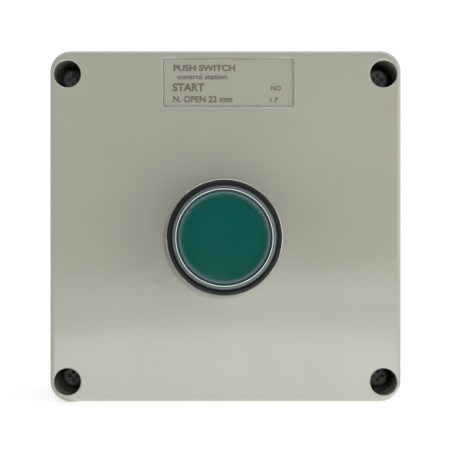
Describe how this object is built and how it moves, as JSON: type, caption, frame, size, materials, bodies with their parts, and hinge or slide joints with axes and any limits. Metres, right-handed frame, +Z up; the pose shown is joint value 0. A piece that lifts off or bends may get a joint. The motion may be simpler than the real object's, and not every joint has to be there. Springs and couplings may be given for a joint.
{
  "type": "surface push-button station",
  "caption": "Square grey surface enclosure with a booted green momentary push button, a normally open contact block, screwed cover and conduit entries.",
  "frame": {"origin": "centre of the back face, which lies on the wall", "axes": "+Y into the wall, so the button faces -Y; +Z up; +X to the right as seen from the front"},
  "size_m": [0.101, 0.0792, 0.1038],
  "materials": {
    "grey_plastic": "satin",
    "black_rubber": "matte",
    "black_plastic": "satin",
    "chrome": "polished",
    "clear_silicone": "gloss",
    "green_plastic": "satin",
    "zinc_steel": "satin",
    "spring_steel": "satin",
    "brass": "satin",
    "silver_contact": "satin",
    "block_plastic": "satin",
    "block_cover_plastic": "satin",
    "white_plastic": "satin"
  },
  "bodies": {
    "enclosure": {"enclosure_base": "grey_plastic", "front_cover": "grey_plastic", "cover_gasket": "black_rubber", "cover_screw_top_left": "zinc_steel", "screw_seal_top_left": "black_rubber", "brass_insert_top_left": "brass", "cover_screw_top_right": "zinc_steel", "screw_seal_top_right": "black_rubber", "brass_insert_top_right": "brass", "cover_screw_bottom_left": "zinc_steel", "screw_seal_bottom_left": "black_rubber", "brass_insert_bottom_left": "brass", "cover_screw_bottom_right": "zinc_steel", "screw_seal_bottom_right": "black_rubber", "brass_insert_bottom_right": "brass", "conduit_plug": "grey_plastic", "conduit_plug_seal": "black_rubber", "bezel_body": "chrome", "panel_gasket": "black_rubber", "boot_ring": "black_plastic", "clear_boot": "clear_silicone", "return_spring": "spring_steel", "lock_washer": "zinc_steel", "lock_nut": "zinc_steel", "contact_carrier": "black_plastic", "carrier_screw": "zinc_steel", "contact_housing": "block_plastic", "contact_cover": "block_cover_plastic", "contact_plunger_spring": "spring_steel", "fixed_tip_upper": "silver_contact", "fixed_contact_upper": "brass", "terminal_clamp_upper": "zinc_steel", "terminal_screw_upper": "zinc_steel", "fixed_tip_lower": "silver_contact", "fixed_contact_lower": "brass", "terminal_clamp_lower": "zinc_steel", "terminal_screw_lower": "zinc_steel", "loop_terminal_saddle": "grey_plastic", "loop_terminal_barrel": "brass", "loop_terminal_screw_upper": "zinc_steel", "loop_terminal_screw_lower": "zinc_steel"},
    "button": {"button_cap": "green_plastic", "plunger": "black_plastic", "plunger_clip": "spring_steel"},
    "contact_plunger": {"contact_plunger": "white_plastic", "bridge_spring": "spring_steel"},
    "contact_bridge": {"contact_bridge": "brass", "moving_tip_upper": "silver_contact", "moving_tip_lower": "silver_contact"}
  },
  "joints": [
    {"name": "button_press", "type": "slide", "parent": "enclosure", "child": "button", "axis": [0, 1, 0], "range_m": [0, 0.0045], "stiffness_N_per_m": 600, "springref_m": -0.006, "deforming": ["clear_boot", "return_spring"]},
    {"name": "contact_press", "type": "slide", "parent": "enclosure", "child": "contact_plunger", "axis": [0, 1, 0], "range_m": [0, 0.0045], "stiffness_N_per_m": 150, "springref_m": -0.006, "deforming": ["contact_plunger_spring"]},
    {"name": "bridge_lift", "type": "slide", "parent": "contact_plunger", "child": "contact_bridge", "axis": [0, -1, 0], "range_m": [0, 0.002], "stiffness_N_per_m": 100, "springref_m": -0.003, "deforming": ["bridge_spring"]}
  ],
  "couplings": [
    {"joint": "contact_press", "follows": "button_press", "ratio": 1},
    {"joint": "bridge_lift", "follows": "button_press", "ratio": 0.4333}
  ]
}
